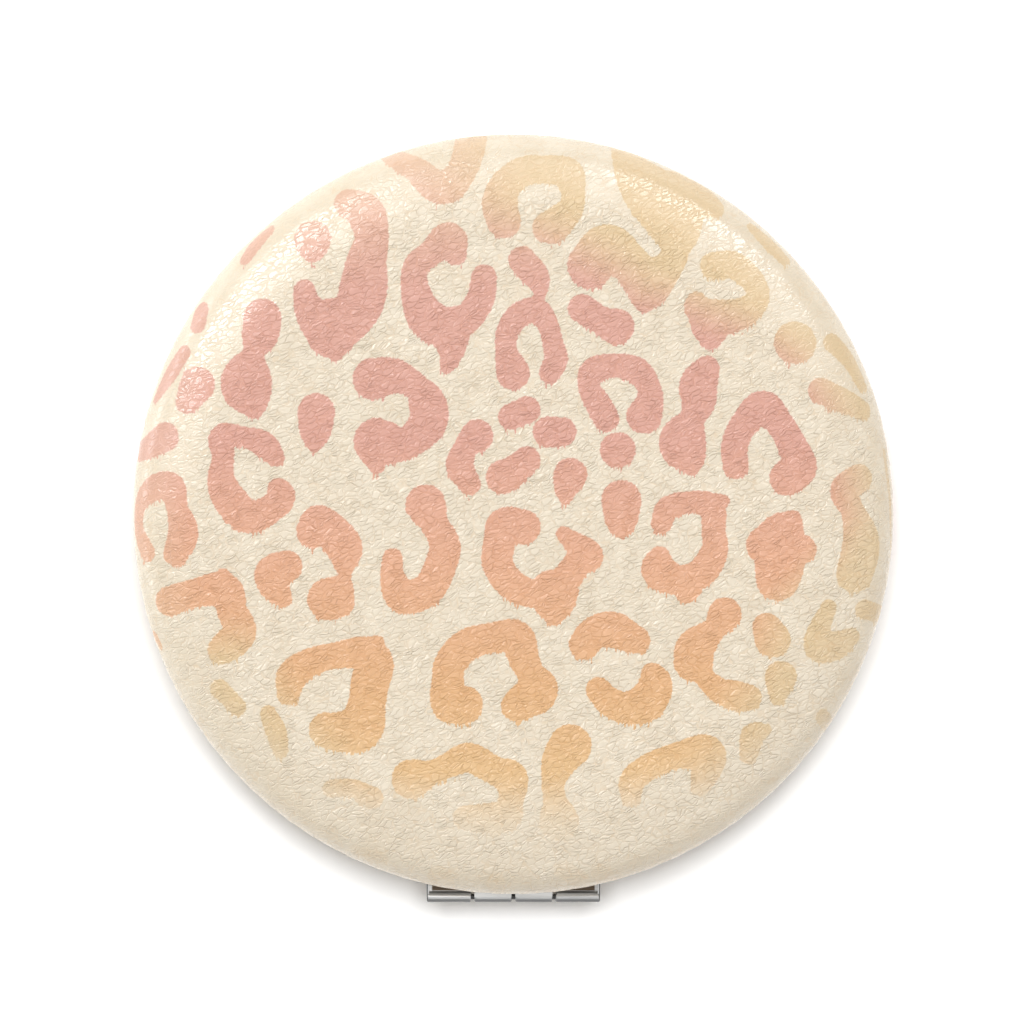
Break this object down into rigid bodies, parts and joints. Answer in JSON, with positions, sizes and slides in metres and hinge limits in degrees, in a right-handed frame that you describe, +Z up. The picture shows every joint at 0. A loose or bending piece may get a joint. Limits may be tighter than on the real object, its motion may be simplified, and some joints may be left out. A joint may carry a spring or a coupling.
{
  "type": "compact mirror",
  "caption": "Round folding compact mirror: padded leopard-print leather covers on plated pans, a flat and a magnifying mirror inside, and a rolled-knuckle hinge.",
  "frame": {"origin": "centre of the base cover's flat foot, on the table", "axes": "+Z up out of the closed case, towards the lid; +Y towards the hinge; X along the hinge pin"},
  "size_m": [0.07, 0.0708, 0.015],
  "materials": {
    "leather": "pebbled coated leather, cream with pink to gold leopard spots, semi-gloss",
    "foam": "fine white sponge",
    "backing": "tinned sheet",
    "adhesive": "foam tape",
    "pan": "bright nickel plate",
    "mirror": "silvered glass",
    "bezel": "metallised, bright silver",
    "magnet": "nickel-plated magnet",
    "hinge": "bright nickel plate"
  },
  "bodies": {
    "base": {"base_leather_cover": "leather", "base_foam_pad": "foam", "base_backing_disc": "backing", "base_mounting_adhesive": "adhesive", "base_pan": "pan", "base_mirror_tape": "adhesive", "base_mirror": "mirror", "base_bezel": "bezel", "base_magnet": "magnet", "base_hinge_leaf": "hinge", "base_rivets": "hinge", "hinge_pin": "hinge"},
    "lid": {"lid_leather_cover": "leather", "lid_foam_pad": "foam", "lid_backing_disc": "backing", "lid_mounting_adhesive": "adhesive", "lid_pan": "pan", "lid_mirror_tape": "adhesive", "lid_mirror": "mirror", "lid_bezel": "bezel", "lid_magnet": "magnet", "lid_hinge_leaf": "hinge", "lid_rivets": "hinge"}
  },
  "joints": [
    {"name": "lid_hinge", "type": "hinge", "parent": "base", "child": "lid", "pos_m": [0, 0.03532, 0.0075], "axis": [-1, 0, 0], "range_deg": [0, 180]}
  ]
}
